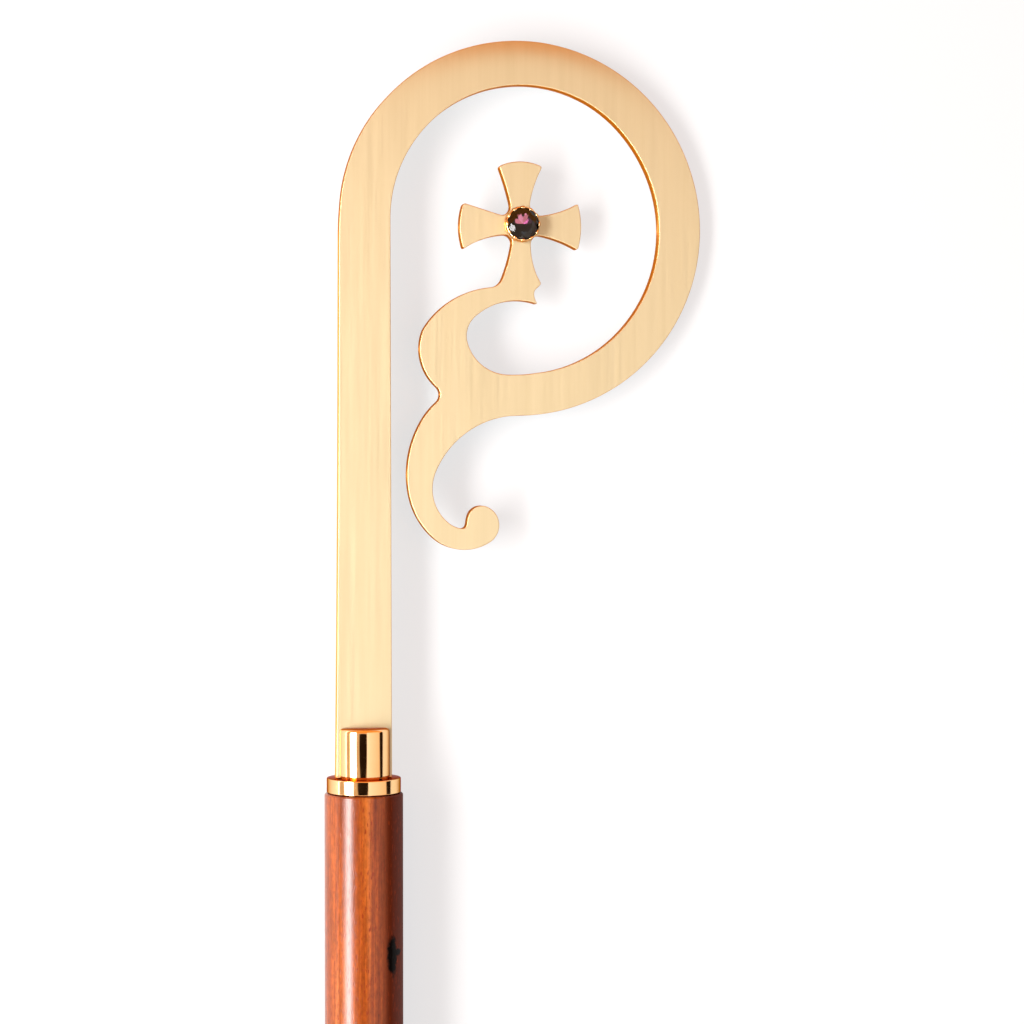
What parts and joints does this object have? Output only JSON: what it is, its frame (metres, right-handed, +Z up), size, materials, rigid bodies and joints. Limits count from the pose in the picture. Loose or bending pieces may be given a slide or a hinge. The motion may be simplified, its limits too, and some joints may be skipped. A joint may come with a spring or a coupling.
{
  "type": "bishop crosier",
  "caption": "Bishop's crosier lying on its back: flat brass crook with a scroll and jewelled cross, turned socket, round wooden staff and plain foot ferrule.",
  "frame": {"origin": "middle of the lying crosier's footprint, on the floor", "axes": "+Y along the staff towards the top of the crook, +X across to the side the crook bends to, +Z up out of the jewelled face"},
  "size_m": [0.1552, 1.83, 0.0319],
  "materials": {
    "satin_brass": "satin, brushed along the staff",
    "polished_brass": "polished",
    "varnished_wood": "gloss varnish",
    "amethyst": "polished facets"
  },
  "bodies": {
    "root": {"crook_plate": "satin_brass", "socket": "polished_brass", "jewel_setting": "polished_brass", "amethyst": "amethyst", "wood_staff": "varnished_wood", "foot_ferrule": "polished_brass"}
  },
  "joints": []
}
